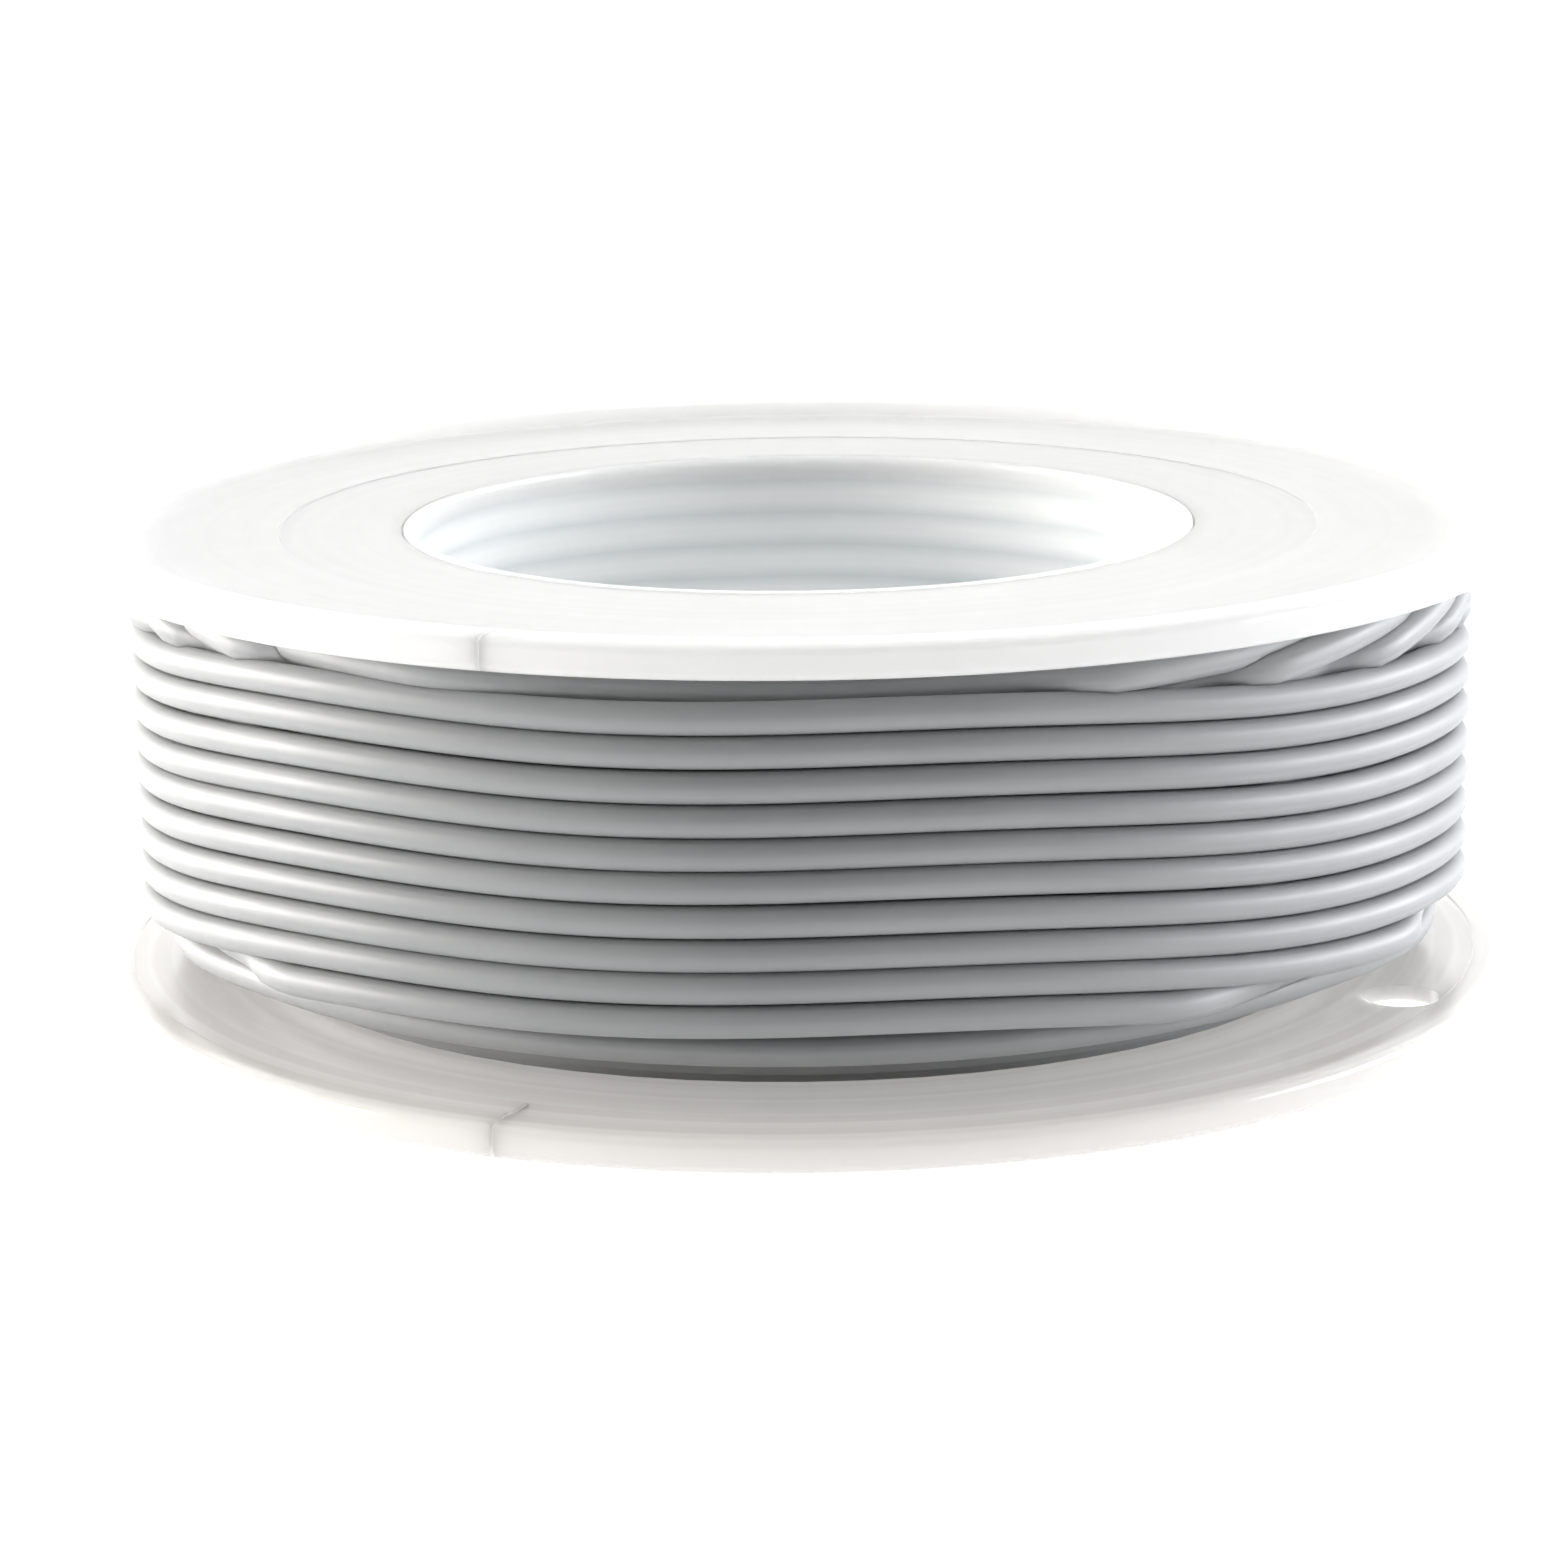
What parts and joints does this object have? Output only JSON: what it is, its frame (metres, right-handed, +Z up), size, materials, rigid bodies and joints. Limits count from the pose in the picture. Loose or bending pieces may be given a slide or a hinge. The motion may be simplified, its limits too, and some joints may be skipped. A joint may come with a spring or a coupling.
{
  "type": "reel of electrical hook-up wire",
  "caption": "Small flanged plastic reel, lying flat, wound full with thin light grey insulated hook-up wire in close even turns.",
  "frame": {"origin": "on the level floor, at the centre of the lower flange's underside, on the axis of the bore", "axes": "+Z up along the reel's axis, +X to the right and -Y towards the viewer as the reel is pictured"},
  "size_m": [0.0672, 0.0672, 0.0221],
  "materials": {
    "spool_plastic": "milky translucent moulded plastic, slightly glossy",
    "wire_insulation": "light grey PVC insulation with a soft satin sheen"
  },
  "bodies": {
    "root": {"spool_body": "spool_plastic", "upper_flange": "spool_plastic", "wire_winding": "wire_insulation"}
  },
  "joints": []
}
